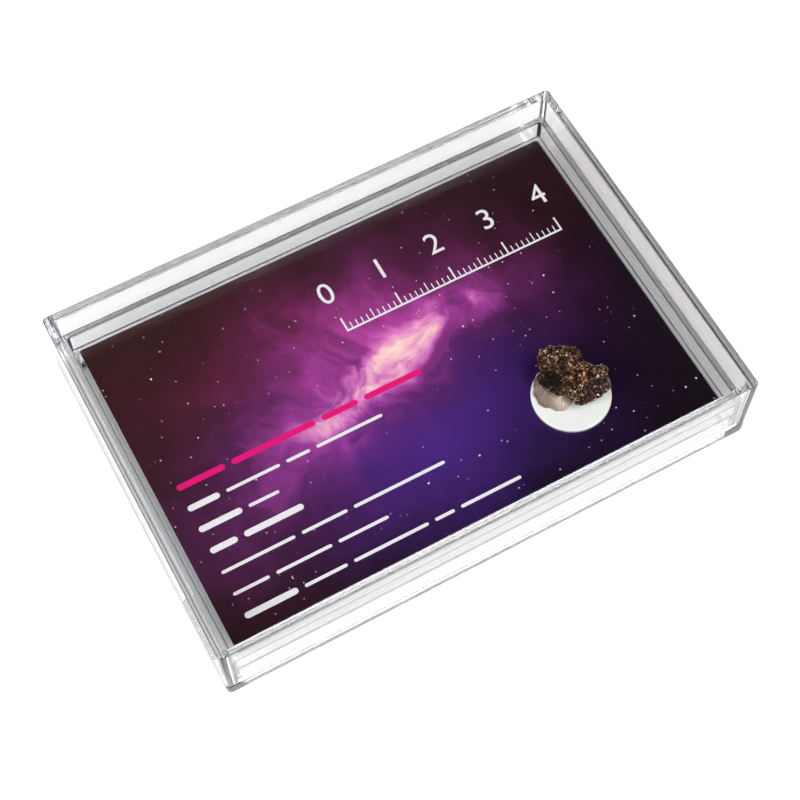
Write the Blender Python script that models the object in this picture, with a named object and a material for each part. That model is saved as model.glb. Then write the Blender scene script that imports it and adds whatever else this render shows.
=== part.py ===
"""Stony meteorite fixed on a printed card inside a clear, closed plastic display box.

Metres, +Z up. The origin is the centre of the box's footprint, on the surface that it stands on.
+X runs along the box's long side.
"""

import math

import bmesh
import bpy
from mathutils import Matrix, Vector, noise

MM = 0.001

# Whole box
BOX_LENGTH = 92.0 * MM
BOX_WIDTH = 63.5 * MM
BOX_HEIGHT = 15.7 * MM
CORNER_RADIUS = 0.9 * MM
CORNER_STEPS = 4

# Lid: a cap with thin walls
LID_WALL = 1.1 * MM
LID_TOP = 1.0 * MM
LID_SEAT_GAP = 0.25 * MM
LID_SIDE_GAP = 0.3 * MM

# Base: a foot flange, a raised floor, and a rim that stands up inside the lid
FLANGE_HEIGHT = 2.6 * MM
RIM_HEIGHT = 10.4 * MM
RIM_WALL = 1.0 * MM
RIM_CORNER_RADIUS = 1.5 * MM
FLOOR_TOP = 6.5 * MM
FLOOR_THICKNESS = 1.2 * MM
UNDERSIDE_WALL = 1.3 * MM

# What lies on the floor, from the bottom up
REST_GAP = 0.2 * MM
CARD_LENGTH = 85.0 * MM
CARD_WIDTH = 56.7 * MM
CARD_THICKNESS = 0.4 * MM
CARD_CORNER_RADIUS = 0.4 * MM
DISC_RADIUS = 6.4 * MM
DISC_THICKNESS = 0.5 * MM
DISC_EDGE = 0.15 * MM
DISC_SIDES = 72
DISC_CENTRE = Vector((22.3, -16.4, 0.0)) * MM
PUTTY_HALF_SIDE = 3.3 * MM
PUTTY_THICKNESS = 1.5 * MM
PUTTY_CENTRE = Vector((20.35, -14.55, 0.0)) * MM
PUTTY_TURN = math.radians(-28.0)
PUTTY_SIDES = 36
PUTTY_SQUARENESS = 2.6
PUTTY_SKEW = 0.06
# How far the putty's side reaches at each share of its height
PUTTY_PROFILE = ((0.0, 0.96), (0.15, 1.0), (0.4, 0.95), (0.7, 0.81), (1.0, 0.58))

# Stone: its own frame is in millimetres, turned so that its long side runs along X
STONE_CENTRE = Vector((23.3, -15.25, 8.75)) * MM
STONE_TURN = math.radians(-28.6)
STONE_TOP = 14.3 * MM
STONE_CELL = 0.31
STONE_SMOOTHING = 5
# Each lump of the stone: its centre and its half sizes
STONE_LUMPS = (
    ((0.2, -0.6, 2.7), (4.2, 2.75, 2.4)),
    ((-2.8, 2.1, 3.7), (3.35, 2.5, 1.8)),
    ((-0.6, 3.1, 3.1), (1.8, 1.7, 2.0)),
    ((2.95, -1.1, 2.4), (2.5, 2.4, 2.2)),
    ((3.7, 0.2, 3.2), (1.6, 1.5, 1.3)),
    ((1.0, -2.7, 2.0), (2.3, 1.9, 1.9)),
    ((0.4, -3.4, 3.0), (1.15, 1.1, 1.0)),
    ((-3.8, 0.1, 1.7), (2.5, 2.0, 1.1)),
    ((-2.2, -1.3, 1.3), (2.1, 1.6, 0.9)),
)
# The scoop in the stone's left flank
STONE_SCOOP = ((-4.1, -2.1, 3.4), (2.7, 2.6, 1.75))
SWELL_SCALE = 0.42
SWELL_DEPTH = 0.45
KNOB_SCALE = 0.78
KNOB_DEPTH = 0.42
GRAIN_SCALE = 1.7
GRAIN_DEPTH = 0.2


def clear_scene():
    """Remove whatever the open file holds."""
    for old in list(bpy.data.objects):
        bpy.data.objects.remove(old, do_unlink=True)


def material(name, colour, roughness, metallic=0.0, transmission=0.0, ior=1.5):
    """A plain Principled material."""
    made = bpy.data.materials.new(name)
    made.use_nodes = True
    shader = made.node_tree.nodes["Principled BSDF"]
    shader.inputs["Base Color"].default_value = (*colour, 1.0)
    shader.inputs["Roughness"].default_value = roughness
    shader.inputs["Metallic"].default_value = metallic
    shader.inputs["Transmission Weight"].default_value = transmission
    shader.inputs["IOR"].default_value = ior
    return made


def add_object(name, mesh_builder, finish=None):
    """Turn a bmesh into a named object and give it its material."""
    bmesh.ops.recalc_face_normals(mesh_builder, faces=mesh_builder.faces)
    mesh = bpy.data.meshes.new(name)
    mesh_builder.to_mesh(mesh)
    mesh_builder.free()
    made = bpy.data.objects.new(name, mesh)
    bpy.context.scene.collection.objects.link(made)
    if finish:
        mesh.materials.append(finish)
    return made


def shade_smooth(thing, sharp_angle=35.0):
    """Smooth the round faces and keep the edges that are sharper than the angle."""
    thing.data.shade_smooth()
    thing.data.set_sharp_from_angle(angle=math.radians(sharp_angle))


def rounded_outline(length, width, radius, steps=CORNER_STEPS):
    """The points of a rectangle with round corners, counter-clockwise from the +X +Y corner."""
    points = []
    inner_x, inner_y = length / 2 - radius, width / 2 - radius
    for corner, (side_x, side_y) in enumerate(((1, 1), (-1, 1), (-1, -1), (1, -1))):
        for step in range(steps + 1):
            angle = math.radians(90.0 * corner + 90.0 * step / steps)
            points.append(
                (side_x * inner_x + radius * math.cos(angle), side_y * inner_y + radius * math.sin(angle))
            )
    return points


def slab(name, outline, bottom, top, finish=None):
    """A flat slab of the outline, between two heights."""
    builder = bmesh.new()
    base = builder.faces.new([builder.verts.new((x, y, bottom)) for x, y in outline])
    raised = bmesh.ops.extrude_face_region(builder, geom=[base])["geom"]
    moved = [item for item in raised if isinstance(item, bmesh.types.BMVert)]
    bmesh.ops.translate(builder, verts=moved, vec=(0.0, 0.0, top - bottom))
    return add_object(name, builder, finish)


def make_helper(thing):
    """Keep a cutter or an added block out of the render."""
    thing.hide_render = True
    thing.display_type = "WIRE"
    return thing


def boolean(target, helper, operation):
    """Add or cut a helper, as a live modifier."""
    modifier = target.modifiers.new(f"{operation.lower()}_{helper.name}", "BOOLEAN")
    modifier.operation = operation
    modifier.solver = "EXACT"
    modifier.object = make_helper(helper)


def make_base(finish):
    """The base: foot flange and upstand in one piece, with the card's recess above and a hollow below."""
    upstand_inset = LID_WALL + LID_SIDE_GAP
    upstand_length = BOX_LENGTH - 2 * upstand_inset
    upstand_width = BOX_WIDTH - 2 * upstand_inset
    recess_length = upstand_length - 2 * RIM_WALL
    recess_width = upstand_width - 2 * RIM_WALL
    hollow_length = upstand_length - 2 * UNDERSIDE_WALL
    hollow_width = upstand_width - 2 * UNDERSIDE_WALL
    reach = 1.0 * MM
    base = slab("box_base", rounded_outline(BOX_LENGTH, BOX_WIDTH, CORNER_RADIUS), 0.0, FLANGE_HEIGHT, finish)
    upstand = slab(
        "base_upstand",
        rounded_outline(upstand_length, upstand_width, RIM_CORNER_RADIUS),
        FLANGE_HEIGHT / 2,
        RIM_HEIGHT,
    )
    recess = slab(
        "card_recess",
        rounded_outline(recess_length, recess_width, RIM_CORNER_RADIUS - RIM_WALL / 2),
        FLOOR_TOP,
        RIM_HEIGHT + reach,
    )
    hollow = slab(
        "underside_hollow",
        rounded_outline(hollow_length, hollow_width, RIM_CORNER_RADIUS - RIM_WALL / 2),
        -reach,
        FLOOR_TOP - FLOOR_THICKNESS,
    )
    boolean(base, upstand, "UNION")
    boolean(base, recess, "DIFFERENCE")
    boolean(base, hollow, "DIFFERENCE")
    return base


def make_lid(finish):
    """The lid: a top plate and four walls, open below."""
    bottom = FLANGE_HEIGHT + LID_SEAT_GAP
    lid = slab("box_lid", rounded_outline(BOX_LENGTH, BOX_WIDTH, CORNER_RADIUS), bottom, BOX_HEIGHT, finish)
    inside = slab(
        "lid_inside",
        rounded_outline(BOX_LENGTH - 2 * LID_WALL, BOX_WIDTH - 2 * LID_WALL, RIM_CORNER_RADIUS),
        bottom - 1.0 * MM,
        BOX_HEIGHT - LID_TOP,
    )
    boolean(lid, inside, "DIFFERENCE")
    return lid


def make_card(finish, bottom):
    """The printed card, flat on the raised floor."""
    outline = rounded_outline(CARD_LENGTH, CARD_WIDTH, CARD_CORNER_RADIUS)
    return slab("info_card", outline, bottom, bottom + CARD_THICKNESS, finish)


def make_disc(finish, bottom):
    """The round pad, with its edges eased."""
    builder = bmesh.new()
    bmesh.ops.create_cone(
        builder,
        cap_ends=True,
        segments=DISC_SIDES,
        radius1=DISC_RADIUS,
        radius2=DISC_RADIUS,
        depth=DISC_THICKNESS,
        matrix=Matrix.Translation(DISC_CENTRE + Vector((0.0, 0.0, bottom + DISC_THICKNESS / 2))),
    )
    disc = add_object("white_disc", builder, finish)
    easing = disc.modifiers.new("eased_edge", "BEVEL")
    easing.width = DISC_EDGE
    easing.segments = 2
    easing.limit_method = "ANGLE"
    easing.angle_limit = math.radians(60.0)
    shade_smooth(disc)
    return disc


def putty_ring(level, reach, margin):
    """One outline of the putty: a rounded square, drawn in or out by reach, with a margin round it."""
    points = []
    power = 2.0 / PUTTY_SQUARENESS
    turn = Matrix.Rotation(PUTTY_TURN, 3, "Z")
    for side in range(PUTTY_SIDES):
        angle = math.tau * side / PUTTY_SIDES
        ease_x = math.copysign(abs(math.cos(angle)) ** power, math.cos(angle))
        ease_y = math.copysign(abs(math.sin(angle)) ** power, math.sin(angle))
        skew = 1.0 - PUTTY_SKEW * math.sin(2 * angle)
        flat = Vector((ease_x, ease_y, 0.0)) * (PUTTY_HALF_SIDE * reach * skew + margin)
        points.append(PUTTY_CENTRE + turn @ flat + Vector((0.0, 0.0, level)))
    return points


def putty_mound(name, bottom, margin, finish=None):
    """A low mound whose side bulges and then draws in to a flat top, with a margin all round it."""
    builder = bmesh.new()
    rings = []
    for share, reach in PUTTY_PROFILE:
        level = bottom + share * PUTTY_THICKNESS + (margin if share else -margin)
        rings.append([builder.verts.new(point) for point in putty_ring(level, reach, margin)])
    for lower, upper in zip(rings, rings[1:]):
        for side in range(PUTTY_SIDES):
            following = (side + 1) % PUTTY_SIDES
            builder.faces.new((lower[side], lower[following], upper[following], upper[side]))
    builder.faces.new(rings[0])
    builder.faces.new(rings[-1])
    return add_object(name, builder, finish)


def make_putty(finish, bottom):
    """The lump of putty that holds the stone to the disc."""
    putty = putty_mound("mounting_putty", bottom, 0.0, finish)
    shade_smooth(putty, 50.0)
    return putty


def lump(builder, centre, half_sizes):
    """An ellipsoid."""
    place = Matrix.Translation(centre) @ Matrix.Diagonal((*half_sizes, 1.0))
    bmesh.ops.create_icosphere(builder, subdivisions=4, radius=1.0, matrix=place)


def remesh(target, name):
    """Join what overlaps in one skin of small even faces."""
    skin = target.modifiers.new(name, "REMESH")
    skin.mode = "VOXEL"
    skin.voxel_size = STONE_CELL


def smooth_stone():
    """The stone's lumps, run together and scooped, as a mesh in the stone's own frame."""
    builder = bmesh.new()
    for centre, half_sizes in STONE_LUMPS:
        lump(builder, centre, half_sizes)
    rough = make_helper(add_object("stone_lumps", builder))
    builder = bmesh.new()
    lump(builder, *STONE_SCOOP)
    remesh(rough, "joined")
    boolean(rough, add_object("stone_scoop", builder), "DIFFERENCE")
    remesh(rough, "evened")
    easing = rough.modifiers.new("softened", "SMOOTH")
    easing.factor = 0.5
    easing.iterations = STONE_SMOOTHING
    evaluated = rough.evaluated_get(bpy.context.evaluated_depsgraph_get())
    mesh = bpy.data.meshes.new_from_object(evaluated)
    for helper in ("stone_lumps", "stone_scoop"):
        bpy.data.objects.remove(bpy.data.objects[helper], do_unlink=True)
    return mesh


def roughness_at(point):
    """The stone's lumps, round grains and crumbs, as a height in millimetres."""
    swell = noise.noise(point * SWELL_SCALE + Vector((3.1, 0.4, 7.7))) * SWELL_DEPTH
    nearest = noise.voronoi(point * KNOB_SCALE + Vector((1.3, 5.2, 0.6)))[0][0]
    knob = (0.45 - min(nearest, 0.9)) * KNOB_DEPTH
    grain = noise.noise(point * GRAIN_SCALE + Vector((9.4, 2.2, 4.8))) * GRAIN_DEPTH
    return swell + knob + grain


def make_stone(finish, putty_level):
    """The stone: one rough lump, hollowed underneath where it is pressed on the putty."""
    builder = bmesh.new()
    builder.from_mesh(smooth_stone())
    builder.normal_update()
    moves = [vertex.normal * roughness_at(vertex.co) for vertex in builder.verts]
    for vertex, move in zip(builder.verts, moves):
        vertex.co += move
    lowest = min(vertex.co.z for vertex in builder.verts)
    highest = max(vertex.co.z for vertex in builder.verts)
    lift = (STONE_TOP - STONE_CENTRE.z) / (highest - lowest)
    shape = Matrix.Diagonal((MM, MM, lift, 1.0)) @ Matrix.Translation((0.0, 0.0, -lowest))
    turn = Matrix.Rotation(STONE_TURN, 4, "Z")
    placed = Matrix.Translation(STONE_CENTRE) @ turn @ shape
    bmesh.ops.transform(builder, matrix=placed, verts=builder.verts)
    stone = add_object("meteorite", builder, finish)
    seat = putty_mound("putty_seat", putty_level, REST_GAP)
    boolean(stone, seat, "DIFFERENCE")
    shade_smooth(stone, 180.0)
    return stone


def main():
    """Build the box, and stack what lies in it."""
    clear_scene()
    clear_plastic = material("clear_plastic", (1.0, 1.0, 1.0), 0.03, transmission=1.0, ior=1.57)
    card_level = FLOOR_TOP + REST_GAP
    disc_level = card_level + CARD_THICKNESS + REST_GAP
    putty_level = disc_level + DISC_THICKNESS + REST_GAP
    make_base(clear_plastic)
    make_lid(clear_plastic)
    make_card(material("printed_card", (0.12, 0.02, 0.08), 0.3), card_level)
    make_disc(material("white_pad", (0.85, 0.85, 0.83), 0.35), disc_level)
    make_putty(material("cream_putty", (0.72, 0.64, 0.52), 0.6), putty_level)
    make_stone(material("stony_chondrite", (0.12, 0.07, 0.05), 0.75), putty_level)


main()
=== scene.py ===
"""Looks of a stony meteorite fixed on a printed card in a clear display box, and a plain studio round it.

Lengths are in metres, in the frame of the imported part, unless a comment says millimetres.
"""

import math

import bmesh
import bpy
import numpy as np
from bpy.props import FloatProperty, FloatVectorProperty, IntProperty, PointerProperty
from mathutils import Matrix, Vector, noise
from mathutils.geometry import delaunay_2d_cdt


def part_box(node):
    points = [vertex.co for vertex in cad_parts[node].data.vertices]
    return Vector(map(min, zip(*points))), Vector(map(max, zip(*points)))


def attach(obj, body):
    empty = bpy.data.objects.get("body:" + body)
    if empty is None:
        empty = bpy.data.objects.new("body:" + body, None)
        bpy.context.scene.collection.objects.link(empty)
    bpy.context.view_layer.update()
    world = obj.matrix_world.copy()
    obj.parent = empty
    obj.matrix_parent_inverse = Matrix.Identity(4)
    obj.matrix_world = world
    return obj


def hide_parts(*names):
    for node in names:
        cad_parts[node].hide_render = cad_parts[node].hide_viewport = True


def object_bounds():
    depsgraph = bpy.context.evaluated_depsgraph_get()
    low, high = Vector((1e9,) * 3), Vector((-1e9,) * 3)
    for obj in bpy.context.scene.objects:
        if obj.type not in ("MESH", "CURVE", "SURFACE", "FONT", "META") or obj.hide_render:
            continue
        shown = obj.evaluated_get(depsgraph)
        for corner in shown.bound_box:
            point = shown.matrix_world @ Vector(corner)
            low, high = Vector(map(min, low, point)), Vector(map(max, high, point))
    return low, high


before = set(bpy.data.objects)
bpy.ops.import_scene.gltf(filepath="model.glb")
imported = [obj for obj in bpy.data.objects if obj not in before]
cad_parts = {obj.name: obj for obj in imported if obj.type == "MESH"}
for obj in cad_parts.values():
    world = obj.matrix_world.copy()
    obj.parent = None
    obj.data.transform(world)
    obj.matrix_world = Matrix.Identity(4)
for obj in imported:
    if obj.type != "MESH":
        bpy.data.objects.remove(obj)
cad_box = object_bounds()

bl_info = {
    "name": "Boxed meteorite",
    "version": (1, 0, 0),
    "blender": (4, 5, 0),
    "location": "3D View > Sidebar > Boxed meteorite",
    "description": "Builds the looks of a stony meteorite in a clear display box",
    "category": "Add Mesh",
}

MM = 0.001
PLASTIC_IOR = 1.58
CORNER_STEPS = 10
EASE_STEPS = 3

# A step too small to see, which keeps two faces from lying in one plane
HAIR = 0.01 * MM

# How far in a wall's profile starts and ends on its flat plates. Only the direction counts.
PLATE_INSET = 8.0 * MM

# The print on the card, in millimetres from the card's centre
LEFT_MARGIN = -39.1
FIRST_ROW = -1.0
ROW_PITCH = 3.93
BAR_GAP = 1.15
BOLD_BAR = 1.05
THIN_BAR = 0.55

# Numbers of the card's materials, after the dark ground's 0
WHITE, PINK, PAPER = 1, 2, 3

# Where the putty was pressed: a centre, a reach and a shift, in millimetres
THUMB_PRESSES = (
    ((21.7, -18.1, 8.8), 2.3, (-0.80, 0.44, 0.0)),
    ((19.6, -17.9, 8.4), 2.0, (-0.25, -0.42, 0.0)),
)

# Places on the stone, each a centre and a reach in millimetres: a scoop whose colour is darkened as painted
# shade, and patches tinted with rust and ash
PAINTED_SHADE_SCOOP = ((19.9, -13.9, 10.3), 2.9)
RUST_PATCHES = (((23.6, -16.5, 13.6), 2.2), ((21.9, -18.2, 10.6), 1.5))
ASH_PATCH = ((26.2, -18.2, 11.6), 4.0)

# Values held at each point of the stone, which its material reads
STONE_MASKS = ("grain_tone", "grain_height", "shade", "rust", "ash")


class BoxSettings(bpy.types.PropertyGroup):
    """Sizes and colour of the clear box."""

    lid_wall: FloatProperty(
        name="Lid wall", description="Thickness of the lid's walls", default=1.1 * MM, unit="LENGTH"
    )
    lid_top: FloatProperty(
        name="Lid top", description="Thickness of the lid's top plate", default=1.0 * MM, unit="LENGTH"
    )
    flange_height: FloatProperty(
        name="Flange height", description="Height of the foot flange", default=2.6 * MM, unit="LENGTH"
    )
    upstand_inset: FloatProperty(
        name="Upstand inset",
        description="From the flange's side to the upstand",
        default=1.4 * MM,
        unit="LENGTH",
    )
    rim_wall: FloatProperty(
        name="Rim wall", description="Thickness of the rim round the card", default=1.0 * MM, unit="LENGTH"
    )
    hollow_inset: FloatProperty(
        name="Hollow inset",
        description="From the flange's side to the hollow below",
        default=2.7 * MM,
        unit="LENGTH",
    )
    floor_top: FloatProperty(
        name="Floor top", description="Height of the raised floor", default=6.5 * MM, unit="LENGTH"
    )
    floor_thickness: FloatProperty(
        name="Floor thickness",
        description="Thickness of the raised floor",
        default=1.2 * MM,
        unit="LENGTH",
    )
    outer_radius: FloatProperty(
        name="Outer corner",
        description="Radius of the box's upright corners",
        default=0.7 * MM,
        unit="LENGTH",
    )
    inner_radius: FloatProperty(
        name="Inner corner",
        description="Radius of the upstand's and lid's inner corners",
        default=0.8 * MM,
        unit="LENGTH",
    )
    recess_radius: FloatProperty(
        name="Recess corner",
        description="Radius of the card recess's corners",
        default=0.5 * MM,
        unit="LENGTH",
    )
    edge_ease: FloatProperty(
        name="Edge ease", description="Radius of the moulded edges", default=0.14 * MM, unit="LENGTH"
    )
    tint: FloatVectorProperty(
        name="Tint",
        description="Colour that thick plastic takes",
        default=(0.86, 0.89, 0.91),
        subtype="COLOR",
    )


class RibSettings(bpy.types.PropertyGroup):
    """Sizes of the fine slanted ribs on the lid's left side."""

    count: IntProperty(name="Ribs", description="Number of ribs", default=27, min=2)
    pitch: FloatProperty(
        name="Pitch", description="From one rib to the next", default=0.39 * MM, unit="LENGTH"
    )
    width: FloatProperty(name="Width", description="Width of a rib", default=0.17 * MM, unit="LENGTH")
    depth: FloatProperty(
        name="Depth", description="How far a rib stands out", default=0.025 * MM, unit="LENGTH"
    )
    height: FloatProperty(name="Height", description="Height of a rib", default=11.6 * MM, unit="LENGTH")
    slant: FloatProperty(
        name="Slant",
        description="Turn of a rib from upright, its top to the front",
        default=math.radians(19.8),
        subtype="ANGLE",
    )
    start: FloatProperty(
        name="Start", description="Y of the first rib's foot", default=-26.8 * MM, unit="LENGTH"
    )
    bottom: FloatProperty(
        name="Bottom", description="Height of the ribs' lower end", default=3.5 * MM, unit="LENGTH"
    )


class CardSettings(bpy.types.PropertyGroup):
    """Colours of the card's print."""

    dark: FloatVectorProperty(
        name="Dark",
        description="Ground colour at the right",
        default=(0.006, 0.003, 0.005),
        subtype="COLOR",
    )
    maroon: FloatVectorProperty(
        name="Maroon",
        description="Ground colour at the left",
        default=(0.034, 0.011, 0.012),
        subtype="COLOR",
    )
    pink_ink: FloatVectorProperty(
        name="Pink ink",
        description="Colour of the first row",
        default=(0.85, 0.01, 0.20),
        subtype="COLOR",
    )
    white_ink: FloatVectorProperty(
        name="White ink",
        description="Colour of the other marks",
        default=(0.90, 0.88, 0.90),
        subtype="COLOR",
    )


class StoneSettings(bpy.types.PropertyGroup):
    """Surface of the stone."""

    detail: IntProperty(
        name="Detail", description="Subdivisions of the solid's faces", default=2, min=0, max=3
    )
    grain: FloatProperty(
        name="Grain", description="Size of a coarse grain", default=0.58 * MM, unit="LENGTH"
    )
    grain_depth: FloatProperty(
        name="Grain depth", description="Relief of the coarse grains", default=0.21 * MM, unit="LENGTH"
    )
    crumb: FloatProperty(name="Crumb", description="Size of a fine grain", default=0.30 * MM, unit="LENGTH")
    crumb_depth: FloatProperty(
        name="Crumb depth", description="Relief of the fine grains", default=0.11 * MM, unit="LENGTH"
    )


class StageSettings(bpy.types.PropertyGroup):
    """Camera and light."""

    azimuth: FloatProperty(
        name="Azimuth",
        description="Camera's turn round the box",
        default=math.radians(-28.12),
        subtype="ANGLE",
    )
    elevation: FloatProperty(
        name="Elevation", description="Camera's height angle", default=math.radians(63.13), subtype="ANGLE"
    )
    roll: FloatProperty(
        name="Roll", description="Camera's tilt", default=math.radians(-0.545), subtype="ANGLE"
    )
    distance: FloatProperty(
        name="Distance", description="From camera to box", default=283.8 * MM, unit="LENGTH"
    )
    focal_length: FloatProperty(name="Focal length", description="Lens, in millimetres", default=78.59)
    key_power: FloatProperty(
        name="Key power", description="Power of the main lamp, in watts", default=5.1
    )
    fill_power: FloatProperty(
        name="Fill power", description="Power of the left lamp, in watts", default=8.6
    )
    room_light: FloatProperty(
        name="Room light", description="Brightness of the surroundings", default=0.58
    )
    screen_light: FloatProperty(
        name="Screen light", description="Brightness of the dark screen that the lid mirrors", default=0.012
    )


def finish_piece(piece, slot, *replaced):
    """Fix a finished piece to the part, and hide the solids that it stands for. The slot is not used."""
    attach(piece, "root")
    if replaced:
        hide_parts(*replaced)
    return piece


def add_piece(name, builder, *finishes):
    """Turn a bmesh into a piece with its materials, its faces pointing out."""
    bmesh.ops.recalc_face_normals(builder, faces=builder.faces)
    mesh = bpy.data.meshes.new(name)
    builder.to_mesh(mesh)
    builder.free()
    for finish in finishes:
        mesh.materials.append(finish)
    piece = bpy.data.objects.new(name, mesh)
    bpy.context.scene.collection.objects.link(piece)
    return piece


def merged_copy(source, name):
    """A copy of a solid's mesh as one connected skin."""
    builder = bmesh.new()
    builder.from_mesh(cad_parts[source].data)
    bmesh.ops.remove_doubles(builder, verts=builder.verts, dist=0.002 * MM)
    return add_piece(name, builder)


def evaluated_mesh(piece):
    """A plain mesh of a piece as its modifiers or its curve settings make it."""
    return bpy.data.meshes.new_from_object(piece.evaluated_get(bpy.context.evaluated_depsgraph_get()))


def apply_modifiers(piece):
    """Make the evaluated shape the piece's own mesh."""
    mesh = evaluated_mesh(piece)
    piece.modifiers.clear()
    piece.data = mesh
    return piece


def add_node(tree, kind, inputs=None, **settings):
    """Add a node, set it, and give each named input a value or a link."""
    node = tree.nodes.new(kind)
    node.location = (180.0 * len(tree.nodes), 0.0)
    for name, value in settings.items():
        setattr(node, name, value)
    for name, value in (inputs or {}).items():
        if isinstance(value, bpy.types.NodeSocket):
            tree.links.new(value, node.inputs[name])
        else:
            node.inputs[name].default_value = value
    return node


def math_node(tree, operation, first, second=0.0, third=None):
    """A Math node's result."""
    inputs = {0: first, 1: second}
    if third is not None:
        inputs[2] = third
    return add_node(tree, "ShaderNodeMath", inputs, operation=operation).outputs[0]


def vector_node(tree, operation, inputs, output="Vector"):
    """A Vector Math node's result."""
    return add_node(tree, "ShaderNodeVectorMath", inputs, operation=operation).outputs[output]


def remap(tree, value, from_min, from_max, to_min=0.0, to_max=1.0, interpolation="LINEAR"):
    """A Map Range node's result, held between its two ends."""
    ends = {"From Min": from_min, "From Max": from_max, "To Min": to_min, "To Max": to_max}
    inputs = {"Value": value, **ends}
    return add_node(tree, "ShaderNodeMapRange", inputs, interpolation_type=interpolation).outputs[0]


def object_place(tree):
    """The place of a point, in Object coordinates."""
    return add_node(tree, "ShaderNodeTexCoord").outputs["Object"]


def noise_value(tree, place, scale, detail, roughness=0.5, distortion=0.0):
    """A Noise Texture's value. The scale is per unit of the place."""
    inputs = {"Vector": place, "Scale": scale, "Detail": detail}
    inputs.update({"Roughness": roughness, "Distortion": distortion})
    return add_node(tree, "ShaderNodeTexNoise", inputs).outputs["Fac"]


def bumped_normal(tree, height, distance, strength):
    """The normal of a surface with a fine relief."""
    inputs = {"Height": height, "Distance": distance, "Strength": strength}
    return add_node(tree, "ShaderNodeBump", inputs).outputs[0]


def mix_colours(tree, share, first, second, blend="MIX"):
    """A colour Mix node's result. A plain colour is given as three numbers."""
    node = add_node(tree, "ShaderNodeMix", data_type="RGBA", blend_type=blend)
    # The node has like-named sockets for each kind of data, so those of colours are taken by number
    factor, colour_a, colour_b = node.inputs[0], node.inputs[6], node.inputs[7]
    for socket, value in ((factor, share), (colour_a, first), (colour_b, second)):
        if isinstance(value, bpy.types.NodeSocket):
            tree.links.new(value, socket)
        elif isinstance(value, float):
            socket.default_value = value
        else:
            socket.default_value = (*value, 1.0)
    return node.outputs[2]


def colour_ramp(tree, factor, *stops):
    """A Color Ramp node's colour. Each stop is a place and three numbers."""
    node = add_node(tree, "ShaderNodeValToRGB", {"Fac": factor})
    elements = node.color_ramp.elements
    while len(elements) < len(stops):
        elements.new(1.0)
    for element, (place, colour) in zip(elements, stops):
        element.position = place
        element.color = (*colour, 1.0)
    return node.outputs["Color"]


def new_material(name):
    """An empty material, its node tree and its output node."""
    made = bpy.data.materials.new(name)
    made.use_nodes = True
    made.node_tree.nodes.clear()
    output = made.node_tree.nodes.new("ShaderNodeOutputMaterial")
    return made, made.node_tree, output


def add_surface(tree, output, **inputs):
    """Give a material a Principled surface. An input's name is its socket's, with _ for each space."""
    named = {name.replace("_", " "): value for name, value in inputs.items()}
    surface = add_node(tree, "ShaderNodeBsdfPrincipled", named)
    tree.links.new(surface.outputs[0], output.inputs["Surface"])


def new_group(name, inputs, outputs):
    """An empty shader group of number sockets. Each input is a name and its default."""
    group = bpy.data.node_groups.new(name, "ShaderNodeTree")
    for label, default in inputs:
        socket = group.interface.new_socket(label, in_out="INPUT", socket_type="NodeSocketFloat")
        socket.default_value = default
    for label in outputs:
        group.interface.new_socket(label, in_out="OUTPUT", socket_type="NodeSocketFloat")
    return group, group.nodes.new("NodeGroupInput"), group.nodes.new("NodeGroupOutput")


def scuff_group():
    """Hairline scuffs and dust as masks, and a slow ripple as a height. Built once."""
    found = bpy.data.node_groups.get("fine_scuffs")
    if found:
        return found
    inputs = (("Hairs per metre", 900.0), ("Dust per metre", 1400.0))
    group, given, out = new_group("fine_scuffs", inputs, ("Scuffs", "Dust", "Ripple"))
    place = object_place(group)
    stretch = {"Vector": place, "Rotation": (0.3, 0.2, 0.6), "Scale": (1.0, 0.06, 1.0)}
    stretched = add_node(group, "ShaderNodeMapping", stretch).outputs[0]
    hairs = noise_value(group, stretched, scale=given.outputs["Hairs per metre"], detail=3.0)
    scuffs = remap(group, hairs, 0.66, 0.8)
    spread = {"Vector": place, "Scale": given.outputs["Dust per metre"]}
    specks = add_node(group, "ShaderNodeTexVoronoi", spread)
    near = math_node(group, "LESS_THAN", specks.outputs["Distance"], 0.10)
    chosen = math_node(group, "GREATER_THAN", specks.outputs["Color"], 0.93)
    dust = math_node(group, "MULTIPLY", near, chosen)
    ripple = noise_value(group, place, scale=95.0, detail=1.0)
    for value, socket in zip((scuffs, dust, ripple), out.inputs):
        group.links.new(value, socket)
    return group


def clear_plastic(name, tint, density):
    """Polished clear plastic with faint ripples and scuffs. Lamps shine through it."""
    made, tree, output = new_material(name)
    wear = {"Hairs per metre": 700.0, "Dust per metre": 900.0}
    marks = add_node(tree, "ShaderNodeGroup", wear, node_tree=scuff_group())
    worn = math_node(tree, "MAXIMUM", marks.outputs["Scuffs"], marks.outputs["Dust"])
    shell = add_node(
        tree,
        "ShaderNodeBsdfPrincipled",
        {
            "Base Color": (0.965, 0.968, 0.975, 1.0),
            "Roughness": math_node(tree, "MULTIPLY_ADD", worn, 0.16, 0.012),
            "IOR": PLASTIC_IOR,
            "Transmission Weight": 1.0,
            "Normal": bumped_normal(tree, marks.outputs["Ripple"], distance=0.05 * MM, strength=0.5),
        },
    )
    lit = add_node(tree, "ShaderNodeBsdfTransparent", {"Color": (0.97, 0.975, 0.975, 1.0)})
    to_lamp = add_node(tree, "ShaderNodeLightPath").outputs["Is Shadow Ray"]
    surface = add_node(tree, "ShaderNodeMixShader", {0: to_lamp, 1: shell.outputs[0], 2: lit.outputs[0]})
    depth = add_node(tree, "ShaderNodeVolumeAbsorption", {"Color": (*tint, 1.0), "Density": density})
    tree.links.new(surface.outputs[0], output.inputs["Surface"])
    tree.links.new(depth.outputs[0], output.inputs["Volume"])
    return made


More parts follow.
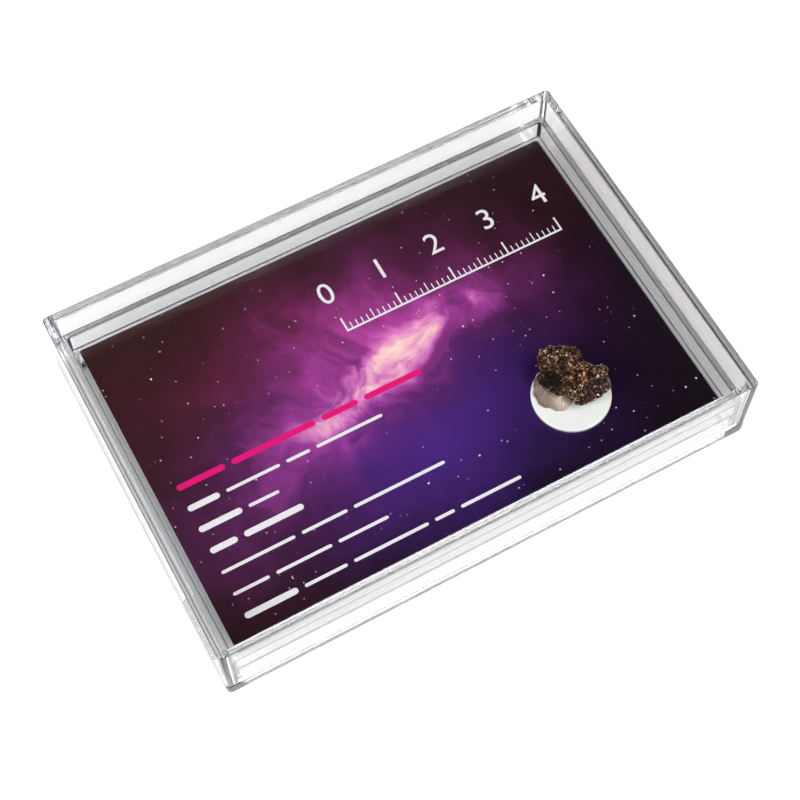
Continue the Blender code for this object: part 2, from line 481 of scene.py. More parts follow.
def round_rectangle(half_x, half_y, radius, level, steps=CORNER_STEPS):
    """The points of a rectangle with round corners, at one height."""
    points = []
    for quarter, (side_x, side_y) in enumerate(((1, 1), (-1, 1), (-1, -1), (1, -1))):
        for step in range(steps + 1):
            angle = math.radians(90.0 * (quarter + step / steps))
            x = side_x * (half_x - radius) + radius * math.cos(angle)
            y = side_y * (half_y - radius) + radius * math.sin(angle)
            points.append(Vector((x, y, level)))
    return points


def skin_rings(builder, rings):
    """Join rings of equal length with quads, and close the first and the last."""
    made = [[builder.verts.new(point) for point in ring] for ring in rings]
    for lower, upper in zip(made, made[1:]):
        for index, corner in enumerate(lower):
            following = (index + 1) % len(lower)
            builder.faces.new((corner, lower[following], upper[following], upper[index]))
    builder.faces.new(made[0])
    builder.faces.new(made[-1])


def eased_corners(profile, ease):
    """Round each corner of a wall's profile. Its first and last points only give directions."""
    eased = []
    for before, corner, after in zip(profile, profile[1:], profile[2:]):
        here = Vector(corner[:2])
        arriving = (Vector(before[:2]) - here).normalized()
        leaving = (Vector(after[:2]) - here).normalized()
        centre = here + (arriving + leaving) * ease
        for step in range(EASE_STEPS + 1):
            angle = math.radians(90.0 * step / EASE_STEPS)
            point = centre - (leaving * math.cos(angle) + arriving * math.sin(angle)) * ease
            eased.append((point.x, point.y, corner[2] + corner[0] - point.x))
    return eased


def swept_shell(name, profile, ease, finish):
    """A wall's profile swept round the box's footprint and closed by its two flat plates."""
    half_x, half_y = cad_box[1].x, cad_box[1].y
    builder = bmesh.new()
    rings = []
    for inset, level, radius in eased_corners(profile, ease):
        rings.append(round_rectangle(half_x - inset, half_y - inset, radius, level))
    skin_rings(builder, rings)
    builder.normal_update()
    along_an_axis = 0.9995
    for face in builder.faces:
        face.smooth = max(map(abs, face.normal)) < along_an_axis
    return add_piece(name, builder, finish)


def lid_profile(sizes):
    """The lid's wall, from its ceiling round to its top, as insets, levels and corner radii."""
    top, foot = cad_box[1].z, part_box("box_lid")[0].z
    ceiling = top - sizes.lid_top
    return (
        (PLATE_INSET, ceiling, 0.0),
        (sizes.lid_wall, ceiling, sizes.inner_radius),
        (sizes.lid_wall, foot, sizes.inner_radius),
        (0.0, foot, sizes.outer_radius),
        (0.0, top, sizes.outer_radius),
        (PLATE_INSET, top, 0.0),
    )


def base_profile(sizes):
    """The base's wall, from its hollow round to its floor, as insets, levels and corner radii."""
    hollow_top = sizes.floor_top - sizes.floor_thickness
    rim_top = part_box("box_base")[1].z
    rim_inset = sizes.upstand_inset + sizes.rim_wall
    return (
        (PLATE_INSET, hollow_top, 0.0),
        (sizes.hollow_inset, hollow_top, sizes.recess_radius),
        (sizes.hollow_inset, 0.0, sizes.recess_radius),
        (0.0, 0.0, sizes.outer_radius),
        (0.0, sizes.flange_height, sizes.outer_radius),
        (sizes.upstand_inset, sizes.flange_height, sizes.inner_radius),
        (sizes.upstand_inset, rim_top, sizes.inner_radius),
        (rim_inset, rim_top, sizes.recess_radius),
        (rim_inset, sizes.floor_top, sizes.recess_radius),
        (PLATE_INSET, sizes.floor_top, 0.0),
    )


class SPECIMEN_OT_clear_box(bpy.types.Operator):
    """Make the clear lid and base from their wall profiles"""

    bl_idname = "specimen.clear_box"
    bl_label = "Clear box"

    def execute(self, context):
        sizes = context.scene.specimen_box
        lid_finish = clear_plastic("lid_plastic", sizes.tint, density=30.0)
        base_finish = clear_plastic("base_plastic", sizes.tint, density=36.0)
        lid = swept_shell("clear_lid", lid_profile(sizes), sizes.edge_ease, lid_finish)
        base = swept_shell("clear_base", base_profile(sizes), sizes.edge_ease, base_finish)
        finish_piece(lid, "clear_lid", "box_lid")
        finish_piece(base, "clear_base", "box_base")
        return {"FINISHED"}


def frosted_plastic():
    """Clear plastic with a fine matt texture, as a mould leaves it on ribs, coloured dark blue-grey as
    painted shade for the dark lines that inner reflection makes along the ribs.
    """
    made, tree, output = new_material("frosted_ribs_painted_shade")
    grain = noise_value(tree, object_place(tree), scale=5200.0, detail=2.0)
    add_surface(
        tree,
        output,
        # Painted shade: a dark blue-grey stands in for the darkness that inner reflection gives the ribs
        Base_Color=(0.16, 0.21, 0.22, 1.0),
        Roughness=math_node(tree, "MULTIPLY_ADD", grain, 0.3, 0.25),
        IOR=PLASTIC_IOR,
        Transmission_Weight=0.3,
    )
    return made


def rib_tree(finish):
    """A Geometry Nodes tree that makes a row of like ribs, with its sizes as inputs."""
    tree = bpy.data.node_groups.new("rib_row", "GeometryNodeTree")
    tree.interface.new_socket("Count", in_out="INPUT", socket_type="NodeSocketInt")
    for label in ("Pitch", "Size", "First", "Slant"):
        tree.interface.new_socket(label, in_out="INPUT", socket_type="NodeSocketVector")
    tree.interface.new_socket("Geometry", in_out="OUTPUT", socket_type="NodeSocketGeometry")
    given = tree.nodes.new("NodeGroupInput").outputs
    line = {"Count": given["Count"], "Start Location": given["First"], "Offset": given["Pitch"]}
    row = add_node(tree, "GeometryNodeMeshLine", line)
    rib = add_node(tree, "GeometryNodeMeshCube", {"Size": given["Size"]})
    turn = add_node(tree, "FunctionNodeEulerToRotation", {"Euler": given["Slant"]})
    placing = {"Points": row.outputs[0], "Instance": rib.outputs["Mesh"], "Rotation": turn.outputs[0]}
    copies = add_node(tree, "GeometryNodeInstanceOnPoints", placing)
    real = add_node(tree, "GeometryNodeRealizeInstances", {"Geometry": copies.outputs[0]})
    painted = add_node(tree, "GeometryNodeSetMaterial", {"Geometry": real.outputs[0], "Material": finish})
    out = tree.nodes.new("NodeGroupOutput")
    tree.links.new(painted.outputs[0], out.inputs["Geometry"])
    return tree


def set_tree_input(modifier, label, value):
    """Set a Geometry Nodes input through the identifier of the socket with this name."""
    for item in modifier.node_group.interface.items_tree:
        if item.item_type == "SOCKET" and item.in_out == "INPUT" and item.name == label:
            modifier[item.identifier] = value


class SPECIMEN_OT_side_ribs(bpy.types.Operator):
    """Make the row of fine ribs on the lid's left side"""

    bl_idname = "specimen.side_ribs"
    bl_label = "Side ribs"

    def execute(self, context):
        sizes = context.scene.specimen_ribs
        middle_y = sizes.start - math.tan(sizes.slant) * sizes.height / 2
        first = (cad_box[0].x - HAIR - sizes.depth / 2, middle_y, sizes.bottom + sizes.height / 2)
        length = sizes.height / math.cos(sizes.slant)
        ribs = add_piece("side_ribs", bmesh.new())
        modifier = ribs.modifiers.new("rib_row", "NODES")
        modifier.node_group = rib_tree(frosted_plastic())
        set_tree_input(modifier, "Count", sizes.count)
        set_tree_input(modifier, "Pitch", (0.0, sizes.pitch, 0.0))
        set_tree_input(modifier, "Size", (sizes.depth, sizes.width, length))
        set_tree_input(modifier, "Slant", (sizes.slant, 0.0, 0.0))
        set_tree_input(modifier, "First", first)
        finish_piece(apply_modifiers(ribs), "clear_lid")
        return {"FINISHED"}


def capsule(left, right, level, thickness):
    """The outline of a level bar with round ends."""
    radius = thickness / 2
    end_steps = 6
    points = []
    for centre_x, start in ((right - radius, -90.0), (left + radius, 90.0)):
        for step in range(end_steps + 1):
            angle = math.radians(start + 180.0 / end_steps * step)
            points.append((centre_x + radius * math.cos(angle), level + radius * math.sin(angle)))
    return points


def rectangle(left, bottom, right, top):
    """The outline of an upright rectangle."""
    return [(left, bottom), (right, bottom), (right, top), (left, top)]


def digit_faces(text, centre_x, bottom, size):
    """The filled faces of one plain number, as outlines in millimetres."""
    curve = bpy.data.curves.new("number", "FONT")
    curve.body = text
    curve.align_x = "CENTER"
    curve.size = size
    curve.resolution_u = 4
    holder = bpy.data.objects.new("number", curve)
    bpy.context.scene.collection.objects.link(holder)
    mesh = evaluated_mesh(holder)
    faces = []
    for polygon in mesh.polygons:
        corners = [mesh.vertices[index].co for index in polygon.vertices]
        if polygon.normal.z < 0.0:
            corners.reverse()
        faces.append([(centre_x + corner.x, bottom + corner.y) for corner in corners])
    bpy.data.objects.remove(holder)
    bpy.data.curves.remove(curve)
    return faces


def scale_marks():
    """A centimetre scale: a line, ticks each millimetre on it, and plain numbers above them."""
    left, foot, centimetres = -3.0, 11.2, 4
    line, clearance = 0.35, 0.02
    strong_half, fine_half = 0.15, 0.09
    number_foot, number_size = 16.9, 5.6
    right = left + 10.0 * centimetres
    outlines = [rectangle(left - strong_half, foot - line, right + strong_half, foot)]
    for tick in range(10 * centimetres + 1):
        height, half = 1.1, fine_half
        if tick % 10 == 0:
            height, half = 2.4, strong_half
        elif tick % 5 == 0:
            height = 1.7
        outlines.append(rectangle(left + tick - half, foot + clearance, left + tick + half, foot + height))
    for number in range(centimetres + 1):
        outlines += digit_faces(str(number), left + 10.0 * number, number_foot, number_size)
    return outlines


def row_marks(row, bold, thin=()):
    """A row of bars of these lengths from the card's left margin, first the bold ones. In millimetres."""
    level = FIRST_ROW - ROW_PITCH * row
    left = LEFT_MARGIN
    outlines = []
    for lengths, thickness in ((bold, BOLD_BAR), (thin, THIN_BAR)):
        for length in lengths:
            outlines.append(capsule(left, left + length, level, thickness))
            left += length + BAR_GAP
    return outlines


def printed_marks():
    """Every mark of the print, as outlines and material numbers."""
    shapes = scale_marks()
    shapes += row_marks(1, (5.4,), (9.2, 4.1, 11.6))
    shapes += row_marks(2, (7.3,), (5.2,))
    shapes += row_marks(3, (4.6, 10.1))
    shapes += row_marks(4, (), (12.4, 7.8, 15.9))
    shapes += row_marks(5, (), (6.1, 9.4, 8.6))
    shapes += row_marks(6, (8.9,), (7.2, 12.8, 3.4, 10.6))
    first_row = row_marks(0, (8.2, 14.6, 6.4, 10.3))
    return [(shape, WHITE) for shape in shapes] + [(shape, PINK) for shape in first_row]


def is_inside(x, y, shape):
    """Whether a point lies inside an outline."""
    crossed = False
    for (x0, y0), (x1, y1) in zip(shape, shape[1:] + shape[:1]):
        if (y0 > y) != (y1 > y) and x < x0 + (x1 - x0) * (y - y0) / (y1 - y0):
            crossed = not crossed
    return crossed


def print_top(builder, outline, marks, level):
    """Fill the card's outline with faces that keep to the marks and have their material numbers."""
    points, edges = list(outline), []
    for shape, _ in marks:
        start = len(points)
        edges += [(start + index, start + (index + 1) % len(shape)) for index in range(len(shape))]
        points += shape
    flat = [Vector(point) for point in points]
    border = [list(range(len(outline)))]
    keep_inside, merging_distance = 1, 1e-5
    made, _, triangles, _, _, _ = delaunay_2d_cdt(flat, edges, border, keep_inside, merging_distance)
    corners = [builder.verts.new((point.x * MM, point.y * MM, level)) for point in made]
    for triangle in triangles:
        face = builder.faces.new([corners[index] for index in triangle])
        centre = sum((made[index] for index in triangle), Vector((0.0, 0.0))) / len(triangle)
        for shape, finish in marks:
            if is_inside(centre.x, centre.y, shape):
                face.material_index = finish


def add_card_edges(builder, foot):
    """Give the card's flat top its thin sides and its underside, down to its foot."""
    rim = [edge for edge in builder.edges if len(edge.link_faces) == 1]
    walls = bmesh.ops.extrude_edge_only(builder, edges=rim)["geom"]
    for item in walls:
        if isinstance(item, bmesh.types.BMVert):
            item.co.z = foot
    bottom = [item for item in walls if isinstance(item, bmesh.types.BMEdge) and len(item.link_faces) == 1]
    closing = bmesh.ops.edgeloop_fill(builder, edges=bottom)["faces"]
    for face in closing + [item for item in walls if isinstance(item, bmesh.types.BMFace)]:
        face.material_index = PAPER


def bell(tree, value, width):
    """A soft hump, 1 where the value is 0 and fading over the width."""
    share = math_node(tree, "ABSOLUTE", math_node(tree, "DIVIDE", value, width))
    square = math_node(tree, "POWER", share, 2.0)
    return math_node(tree, "EXPONENT", math_node(tree, "MULTIPLY", square, -1.0))


def soft_spot(tree, x, y, centre, widths):
    """A soft oval spot on the print, 1 at its centre."""
    across = bell(tree, math_node(tree, "SUBTRACT", x, centre[0]), widths[0])
    up = bell(tree, math_node(tree, "SUBTRACT", y, centre[1]), widths[1])
    return math_node(tree, "MULTIPLY", up, across)


def bent_place(tree, place):
    """The place on the print, pushed about so that nothing in its cloud runs straight. In millimetres."""
    drift = add_node(
        tree, "ShaderNodeTexNoise", {"Vector": place, "Scale": 0.035, "Detail": 4.0, "Roughness": 0.55}
    ).outputs["Color"]
    centred = vector_node(tree, "SUBTRACT", {0: drift, 1: (0.5, 0.5, 0.5)})
    return vector_node(tree, "MULTIPLY_ADD", {0: centred, 1: (26.0, 26.0, 0.0), 2: place})


def cloud_light(tree, x, y, veil):
    """The colour of a soft cloud of light that lies along a wavy ridge, behind a veil of wisps."""
    wave = math_node(tree, "SINE", math_node(tree, "MULTIPLY_ADD", x, 0.055, 0.9))
    ridge = math_node(tree, "MULTIPLY_ADD", wave, 9.0, -2.0)
    above_ridge = math_node(tree, "SUBTRACT", y, ridge)
    wide = soft_spot(tree, x, above_ridge, (-6.0, 0.0), (27.0, 11.0))
    narrow = soft_spot(tree, x, above_ridge, (-3.0, 0.0), (17.0, 4.0))
    light = math_node(tree, "MULTIPLY_ADD", narrow, 0.55, math_node(tree, "MULTIPLY", wide, 0.62))
    return colour_ramp(
        tree,
        math_node(tree, "MULTIPLY", light, veil),
        (0.0, (0.0, 0.0, 0.0)),
        (0.18, (0.075, 0.010, 0.085)),
        (0.42, (0.30, 0.040, 0.28)),
        (0.68, (0.68, 0.20, 0.52)),
        (1.0, (0.98, 0.72, 0.60)),
    )


def printed_surface(settings):
    """Glossy print: a dark ground with a soft cloud of light and small stars."""
    made, tree, output = new_material("dark_print")
    spot = vector_node(tree, "SCALE", {0: object_place(tree), "Scale": 1.0 / MM})
    pushed = bent_place(tree, spot)
    split = add_node(tree, "ShaderNodeSeparateXYZ", {0: pushed})
    x, y = split.outputs[0], split.outputs[1]
    wisps = noise_value(tree, pushed, scale=0.11, detail=7.0, roughness=0.62, distortion=0.6)
    veil = remap(tree, wisps, 0.3, 0.72, 0.35, 1.2)
    slope = math_node(tree, "MULTIPLY_ADD", x, 0.62, math_node(tree, "MULTIPLY", y, -0.75))
    ground = mix_colours(tree, remap(tree, slope, -24.0, 26.0), settings.maroon, settings.dark)
    haze = soft_spot(tree, x, y, (2.0, -15.0), (20.0, 10.0))
    ground = mix_colours(tree, haze, ground, (0.065, 0.02, 0.20))
    blush = math_node(tree, "MULTIPLY", soft_spot(tree, x, y, (-2.0, 12.0), (26.0, 9.0)), veil)
    ground = mix_colours(tree, blush, ground, (0.17, 0.022, 0.07))
    painted = mix_colours(tree, 1.0, ground, cloud_light(tree, x, y, veil), "ADD")
    for spacing, radius, strength in ((2.3, 0.17, 1.0), (1.2, 0.13, 0.7)):
        cells = add_node(tree, "ShaderNodeTexVoronoi", {"Vector": spot, "Scale": 1.0 / spacing})
        luck = add_node(tree, "ShaderNodeSeparateColor", {0: cells.outputs["Color"]}).outputs[0]
        size = math_node(tree, "MULTIPLY", math_node(tree, "POWER", luck, 2.0), radius / spacing)
        star = math_node(tree, "LESS_THAN", cells.outputs["Distance"], size)
        lit_star = math_node(tree, "MULTIPLY", star, strength)
        painted = mix_colours(tree, lit_star, painted, (0.95, 0.80, 0.95))
    marks = add_node(tree, "ShaderNodeGroup", node_tree=scuff_group())
    roughness = math_node(tree, "MULTIPLY_ADD", marks.outputs["Scuffs"], 0.15, 0.13)
    add_surface(tree, output, Base_Color=painted, Roughness=roughness, Specular_IOR_Level=0.2)
    return made


def plain_ink(name, colour):
    """A flat printed ink with a slight unevenness."""
    made, tree, output = new_material(name)
    grain = noise_value(tree, object_place(tree), scale=3500.0, detail=2.0)
    worn = [0.6 * value for value in colour]
    uneven = mix_colours(tree, remap(tree, grain, 0.3, 0.8, 0.0, 0.25), colour, worn)
    add_surface(tree, output, Base_Color=uneven, Roughness=0.18, Specular_IOR_Level=0.25)
    return made


class SPECIMEN_OT_printed_card(bpy.types.Operator):
    """Make the card, with its print as faces of the one flat top"""

    bl_idname = "specimen.printed_card"
    bl_label = "Printed card"

    def execute(self, context):
        settings = context.scene.specimen_card
        low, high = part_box("info_card")
        corner_radius, corner_steps = 0.4 * MM, 4
        gap_below = 0.15 * MM
        border = round_rectangle(high.x, high.y, corner_radius, 0.0, corner_steps)
        outline = [(point.x / MM, point.y / MM) for point in border]
        builder = bmesh.new()
        print_top(builder, outline, printed_marks(), high.z)
        add_card_edges(builder, low.z - gap_below)
        card = add_piece(
            "printed_card",
            builder,
            printed_surface(settings),
            plain_ink("white_ink", settings.white_ink),
            plain_ink("pink_ink", settings.pink_ink),
            plain_ink("card_stock", (0.86, 0.86, 0.84)),
        )
        finish_piece(card, "printed_card", "info_card")
        return {"FINISHED"}


def white_plastic():
    """Smooth white plastic with a soft gloss."""
    made, tree, output = new_material("pad_plastic")
    cloud = noise_value(tree, object_place(tree), scale=260.0, detail=3.0)
    add_surface(
        tree,
        output,
        Base_Color=mix_colours(tree, cloud, (0.84, 0.86, 0.82), (0.90, 0.91, 0.88)),
        Roughness=math_node(tree, "MULTIPLY_ADD", cloud, 0.2, 0.2),
        Normal=bumped_normal(tree, cloud, distance=0.04 * MM, strength=0.4),
        Subsurface_Weight=0.15,
        Subsurface_Scale=0.5 * MM,
        Coat_Weight=0.3,
        Coat_Roughness=0.15,
    )
    return made


def circle(centre, radius, level, sides=120):
    """The points of a circle, at one height."""
    points = []
    for side in range(sides):
        angle = math.tau * side / sides
        x, y = centre.x + radius * math.cos(angle), centre.y + radius * math.sin(angle)
        points.append(Vector((x, y, level)))
    return points


class SPECIMEN_OT_white_pad(bpy.types.Operator):
    """Make the round white pad"""

    bl_idname = "specimen.white_pad"
    bl_label = "White pad"

    def execute(self, context):
        low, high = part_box("white_disc")
        centre = (low + high) / 2
        radius = (high.x - low.x) / 2
        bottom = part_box("info_card")[1].z + HAIR
        ease, ease_steps = 0.17 * MM, 6
        rings = []
        for start, middle in ((-90.0, bottom + ease), (0.0, high.z - ease)):
            for step in range(ease_steps + 1):
                rise = math.radians(start + 90.0 * step / ease_steps)
                reach = radius - ease + ease * math.cos(rise)
                rings.append(circle(centre, reach, middle + ease * math.sin(rise)))
        builder = bmesh.new()
        skin_rings(builder, rings)
        for face in builder.faces:
            face.smooth = len(face.verts) == 4
        pad = add_piece("white_pad", builder, white_plastic())
        finish_piece(pad, "white_pad", "white_disc")
        return {"FINISHED"}


def putty_finish():
    """Cream putty: matt, with a slight glow, and painted shade that turns to painted light towards its
    right front.
    """
    made, tree, output = new_material("kneaded_putty")
    place = object_place(tree)
    cloud = noise_value(tree, place, scale=420.0, detail=4.0)
    # Painted shade and light: the colour grows paler towards the lit right front side and darker away from
    # it
    towards_painted_light = (0.878, -0.479, 0.0)
    along = vector_node(tree, "DOT_PRODUCT", {0: place, 1: towards_painted_light}, "Value")
    painted_light_share = remap(tree, along, 23.0 * MM, 26.9 * MM)
    painted_light_lift = math_node(tree, "MULTIPLY_ADD", painted_light_share, 0.75, -0.35)
    patches_and_painted_light = math_node(tree, "MULTIPLY_ADD", cloud, 0.8, painted_light_lift)
    creams = ((0.0, (0.17, 0.11, 0.085)), (0.45, (0.33, 0.25, 0.19)), (0.85, (0.95, 0.84, 0.66)))
    fine = noise_value(tree, place, scale=2600.0, detail=3.0)
    add_surface(
        tree,
        output,
        Base_Color=colour_ramp(tree, patches_and_painted_light, *creams),
        Roughness=math_node(tree, "MULTIPLY_ADD", fine, 0.2, 0.42),
        Normal=bumped_normal(tree, fine, distance=0.08 * MM, strength=0.5),
        Subsurface_Weight=0.25,
        Subsurface_Scale=0.6 * MM,
    )
    return made


def putty_relief(spot):
    """How far dents, creases and a fine unevenness move the kneaded skin at a point. In millimetres."""
    # An added vector only shifts a noise, so that no two of them are alike
    dent = noise.noise(spot * 0.55 + Vector((4.1, 0.7, 2.9))) * 0.30
    crease = -abs(noise.noise(spot * Vector((0.9, 0.9, 0.5)) + Vector((8.3, 3.1, 1.7)))) * 0.35
    fine = noise.noise(spot * 3.1) * 0.035
    return dent + crease + fine


class SPECIMEN_OT_mounting_putty(bpy.types.Operator):
    """Make the pressed putty under the stone"""

    bl_idname = "specimen.mounting_putty"
    bl_label = "Mounting putty"

    def execute(self, context):
        low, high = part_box("mounting_putty")
        pad_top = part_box("white_disc")[1].z
        putty = merged_copy("mounting_putty", "pressed_putty")
        skin = putty.modifiers.new("skin", "REMESH")
        skin.mode = "VOXEL"
        skin.voxel_size = 0.13 * MM
        apply_modifiers(putty)
        builder = bmesh.new()
        builder.from_mesh(putty.data)
        builder.normal_update()
        spread = 0.16 * MM
        # The foot goes down past the pad's top, where it is cut flat
        sinking = 1.4
        moves = [vertex.normal * (spread + putty_relief(vertex.co / MM) * MM) for vertex in builder.verts]
        for vertex, move in zip(builder.verts, moves):
            rise = (vertex.co.z - low.z) / (high.z - low.z)
            vertex.co += move
            for centre, reach, shift in THUMB_PRESSES:
                share = max(0.0, 1.0 - (vertex.co / MM - Vector(centre)).length / reach)
                vertex.co += Vector(shift) * MM * share * (2.0 - share)
            vertex.co.z -= (1.0 - min(max(rise, 0.0), 1.0)) * (low.z - pad_top) * sinking
            vertex.co.z = max(vertex.co.z, pad_top - HAIR)
        builder.to_mesh(putty.data)
        builder.free()
        putty.data.materials.clear()
        putty.data.materials.append(putty_finish())
        putty.data.shade_smooth()
        finish_piece(putty, "cream_putty", "mounting_putty")
        return {"FINISHED"}


def stone_finish():
    """Brown weathered stone made of grains, with rust and ash tints. Its cracks are darkened as painted
    shade, its grain tops lightened as painted light, and a scoop darkened as painted shade.
    """
    made, tree, output = new_material("weathered_stone")
    tone, height, shade, rust, ash = (
        add_node(tree, "ShaderNodeAttribute", attribute_name=name).outputs["Fac"] for name in STONE_MASKS
    )
    fine = noise_value(tree, object_place(tree), scale=4200.0, detail=4.0, roughness=0.65)
    varied = math_node(tree, "MULTIPLY_ADD", fine, 0.5, math_node(tree, "SUBTRACT", tone, 0.25))
    colour = colour_ramp(
        tree,
        varied,
        (0.0, (0.024, 0.010, 0.006)),
        (0.35, (0.075, 0.034, 0.018)),
        (0.6, (0.168, 0.082, 0.048)),
        (0.8, (0.38, 0.222, 0.145)),
        (1.0, (0.80, 0.58, 0.46)),
    )
    for mask, tint in ((rust, (1.38, 1.16, 1.0)), (ash, (1.45, 1.68, 2.0))):
        colour = mix_colours(tree, mask, colour, mix_colours(tree, 1.0, colour, tint, "MULTIPLY"))
    # Painted shade and light: low places between the grains go near black, grain tops up to twice as light,
    # and the scoop is darkened
    painted_light_and_shade = math_node(tree, "MULTIPLY", remap(tree, height, 0.40, 0.88, 0.0, 2.1), shade)
    painted_light_and_shade_colour = add_node(tree, "ShaderNodeCombineColor", {0: painted_light_and_shade, 1: painted_light_and_shade, 2: painted_light_and_shade}).outputs[0]
    add_surface(
        tree,
        output,
        Base_Color=mix_colours(tree, 1.0, colour, painted_light_and_shade_colour, "MULTIPLY"),
        Roughness=math_node(tree, "MULTIPLY_ADD", fine, 0.5, 0.35),
        Specular_IOR_Level=0.08,
        Normal=bumped_normal(tree, fine, distance=0.08 * MM, strength=0.7),
    )
    return made


def nearness(spot, place, wander):
    """1 at the centre of a place on the stone, fading to 0 at its reach. All in millimetres."""
    centre, reach = place
    share = 1.0 - (spot - Vector(centre)).length / (reach + wander)
    return max(0.0, min(1.0, 1.6 * share))


def grain_rise(distances):
    """0 in the crack between two grains, rising to 1 on the flat of a grain."""
    crack_width = 0.45
    return min((distances[1] - distances[0]) / crack_width, 1.0) ** 0.7


def grain_masks(spot, settings):
    """How far the grains stand out at a point given in millimetres, and the stone's masks there."""
    # An added vector only shifts a noise, so that no two of them are alike
    coarse, homes = noise.voronoi(spot / (settings.grain / MM))
    small, crumbs = noise.voronoi(spot / (settings.crumb / MM) + Vector((3.1, 7.7, 1.3)))
    gap, crack = grain_rise(coarse), grain_rise(small)
    middle = 0.75
    relief = (gap - middle) * settings.grain_depth + (crack - middle) * settings.crumb_depth
    worm = 1.0 - min(abs(noise.noise(spot / 0.55 + Vector((1.7, 9.2, 4.4)))) * 2.6, 1.0)
    # A height used only for colour, by which the material paints shade into low places and light onto grain
    # tops
    height = 0.45 * gap + 0.25 * crack + 0.30 * worm
    tone = 0.5 + 0.60 * noise.noise(homes[0] * 5.3) + 0.50 * noise.noise(crumbs[0] * 3.9)
    tone += 0.20 * noise.noise(spot / 2.2)
    wander = noise.noise(spot / 0.9) * 0.5
    # Painted shade: the colour is darkened in the scoop, where shadow falls
    shade = 1.0 - 0.93 * nearness(spot, PAINTED_SHADE_SCOOP, wander)
    rust = max(nearness(spot, patch, wander) for patch in RUST_PATCHES)
    ash = nearness(spot, ASH_PATCH, wander)
    return relief, (tone, height, shade, rust, ash)


class SPECIMEN_OT_meteorite(bpy.types.Operator):
    """Make the grainy stone from its solid"""

    bl_idname = "specimen.meteorite"
    bl_label = "Meteorite"

    def execute(self, context):
        settings = context.scene.specimen_stone
        stone = merged_copy("meteorite", "chondrite_stone")
        finer = stone.modifiers.new("finer", "SUBSURF")
        finer.levels = settings.detail
        finer.render_levels = settings.detail
        apply_modifiers(stone)
        builder = bmesh.new()
        builder.from_mesh(stone.data)
        builder.normal_update()
        grains = [grain_masks(vertex.co / MM, settings) for vertex in builder.verts]
        for vertex, (relief, _) in zip(builder.verts, grains):
            vertex.co += vertex.normal * relief
        builder.to_mesh(stone.data)
        builder.free()
        masks = np.array([values for _, values in grains], np.float32)
        for name, column in zip(STONE_MASKS, masks.T):
            layer = stone.data.attributes.new(name, "FLOAT", "POINT")
            layer.data.foreach_set("value", np.ascontiguousarray(column))
        stone.data.materials.clear()
        stone.data.materials.append(stone_finish())
        stone.data.shade_smooth()
        finish_piece(stone, "stony_chondrite", "meteorite")
        return {"FINISHED"}


def studio_paper():
    """Pale matt floor."""
    made, tree, output = new_material("studio_floor")
    cloud = noise_value(tree, object_place(tree), scale=40.0, detail=2.0)
    colour = mix_colours(tree, cloud, (0.93, 0.905, 0.89), (0.95, 0.925, 0.91))
    add_surface(tree, output, Base_Color=colour, Roughness=0.75)
    return made


def direction(azimuth, elevation):
    """The unit vector at two angles in radians. Azimuth is measured from +X towards +Y."""
    flat = math.cos(elevation)
    return Vector((flat * math.cos(azimuth), flat * math.sin(azimuth), math.sin(elevation)))


def add_lamp(name, power, angles, distance, size, colour):
    """A square soft lamp that faces the box. Its angles are its azimuth and elevation, in degrees."""
    data = bpy.data.lights.new(name, "AREA")
    data.shape = "SQUARE"
    data.size = size
    data.energy = power
    data.color = colour
    lamp = bpy.data.objects.new(name, data)
    bpy.context.scene.collection.objects.link(lamp)
    away = direction(*map(math.radians, angles))
    lamp.location = away * distance
    lamp.rotation_euler = away.to_track_quat("Z", "Y").to_euler()
    return lamp


def towards_camera(settings):
    """The direction of the camera, whose azimuth is measured from the box's front."""
    return direction(settings.azimuth - math.pi / 2, settings.elevation)


def room_light(settings):
    """An even pale room with warm and cool sides, and a dark screen where the lid would mirror it."""
    world = bpy.data.worlds.new("surroundings")
    world.use_nodes = True
    tree = world.node_tree
    tree.nodes.clear()
    seen = add_node(tree, "ShaderNodeTexCoord").outputs["Generated"]
    split = add_node(tree, "ShaderNodeSeparateXYZ", {0: seen})
    turn = math_node(tree, "ARCTAN2", split.outputs[1], split.outputs[0])
    sides = math_node(tree, "SINE", math_node(tree, "MULTIPLY_ADD", turn, 2.0, 0.6))
    share = math_node(tree, "MULTIPLY_ADD", sides, 0.5, 0.5)
    warm = [settings.room_light * value for value in (1.05, 0.91, 0.87)]
    cool = [settings.room_light * value for value in (0.88, 1.0, 1.07)]
    camera = towards_camera(settings)
    mirrored = (-camera.x, -camera.y, camera.z)
    closeness = vector_node(tree, "DOT_PRODUCT", {0: seen, 1: mirrored}, "Value")
    shaded = remap(tree, closeness, 0.86, 0.93, interpolation="SMOOTHSTEP")
    colour = mix_colours(tree, shaded, mix_colours(tree, share, warm, cool), [settings.screen_light] * 3)
    surroundings = add_node(tree, "ShaderNodeBackground", {"Color": colour})
    output = tree.nodes.new("ShaderNodeOutputWorld")
    tree.links.new(surroundings.outputs[0], output.inputs["Surface"])
    return world


def add_camera(settings):
    """The camera, at the photograph's angle."""
    data = bpy.data.cameras.new("camera")
    data.sensor_width = 36.0
    data.lens = settings.focal_length
    data.clip_start = 10.0 * MM
    data.clip_end = 20.0
    camera = bpy.data.objects.new("camera", data)
    bpy.context.scene.collection.objects.link(camera)
    target = Vector((0.139, -0.655, 0.0)) * MM
    back = towards_camera(settings)
    turn = (-back).to_track_quat("-Z", "Y").to_matrix().to_4x4()
    place = Matrix.Translation(target + back * settings.distance)
    camera.matrix_world = place @ turn @ Matrix.Rotation(settings.roll, 4, "Z")
    bpy.context.scene.camera = camera


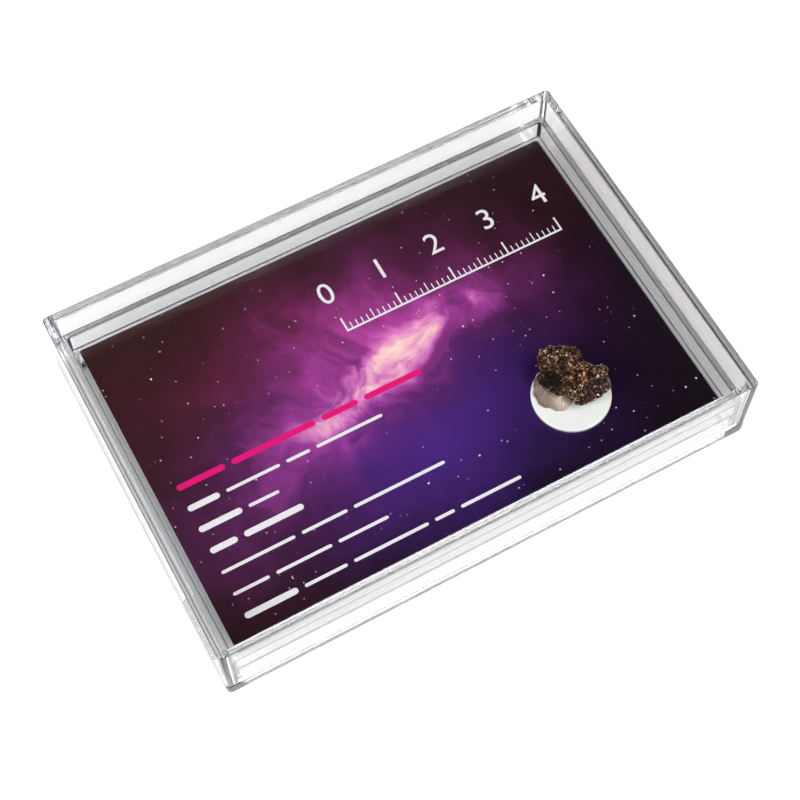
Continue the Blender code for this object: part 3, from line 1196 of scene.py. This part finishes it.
class SPECIMEN_OT_stage(bpy.types.Operator):
    """Set the floor, the soft lamps, the surroundings and the camera"""

    bl_idname = "specimen.stage"
    bl_label = "Stage"

    def execute(self, context):
        settings = context.scene.specimen_stage
        reach = 1.5
        below = -0.05 * MM
        corners = ((-reach, -reach), (reach, -reach), (reach, reach), (-reach, reach))
        builder = bmesh.new()
        builder.faces.new([builder.verts.new((x, y, below)) for x, y in corners])
        floor = add_piece("floor", builder, studio_paper())
        warm_white, cool_white = (1.0, 0.98, 0.96), (0.97, 0.98, 1.0)
        add_lamp("key", settings.key_power, (-62.0, 64.0), distance=0.8, size=0.42, colour=warm_white)
        add_lamp("fill", settings.fill_power, (188.0, 34.0), distance=0.9, size=0.50, colour=cool_white)
        context.scene.world = room_light(settings)
        add_camera(settings)
        context.scene.view_settings.view_transform = "Standard"
        cycles = context.scene.cycles
        cycles.max_bounces = 24
        cycles.transmission_bounces = 20
        cycles.transparent_max_bounces = 24
        cycles.glossy_bounces = 8
        cycles.caustics_reflective = False
        cycles.caustics_refractive = False
        cycles.diffuse_bounces = 4
        return {"FINISHED"}


class SPECIMEN_PT_panel(bpy.types.Panel):
    """Lists the pieces, and the settings that they are made from"""

    bl_label = "Boxed meteorite"
    bl_idname = "SPECIMEN_PT_panel"
    bl_space_type = "VIEW_3D"
    bl_region_type = "UI"
    bl_category = "Boxed meteorite"

    def draw(self, context):
        for operator in OPERATORS:
            self.layout.operator(operator.bl_idname)
        for name, group in SETTINGS.items():
            column = self.layout.column(align=True)
            for label in group.__annotations__:
                column.prop(getattr(context.scene, name), label)


OPERATORS = (
    SPECIMEN_OT_clear_box,
    SPECIMEN_OT_side_ribs,
    SPECIMEN_OT_printed_card,
    SPECIMEN_OT_white_pad,
    SPECIMEN_OT_mounting_putty,
    SPECIMEN_OT_meteorite,
    SPECIMEN_OT_stage,
)
SETTINGS = {
    "specimen_box": BoxSettings,
    "specimen_ribs": RibSettings,
    "specimen_card": CardSettings,
    "specimen_stone": StoneSettings,
    "specimen_stage": StageSettings,
}


def register():
    """Make the settings, operators and panel known to Blender."""
    for group in SETTINGS.values():
        bpy.utils.register_class(group)
    for name, group in SETTINGS.items():
        setattr(bpy.types.Scene, name, PointerProperty(type=group))
    for operator in OPERATORS:
        bpy.utils.register_class(operator)
    bpy.utils.register_class(SPECIMEN_PT_panel)


def unregister():
    """Take back what register made known."""
    bpy.utils.unregister_class(SPECIMEN_PT_panel)
    for operator in reversed(OPERATORS):
        bpy.utils.unregister_class(operator)
    for name in SETTINGS:
        delattr(bpy.types.Scene, name)
    for group in SETTINGS.values():
        bpy.utils.unregister_class(group)


def main():
    """Build every piece and the stage."""
    register()
    bpy.ops.specimen.clear_box()
    bpy.ops.specimen.side_ribs()
    bpy.ops.specimen.printed_card()
    bpy.ops.specimen.white_pad()
    bpy.ops.specimen.mounting_putty()
    bpy.ops.specimen.meteorite()
    bpy.ops.specimen.stage()


if __name__ == "__main__":
    main()
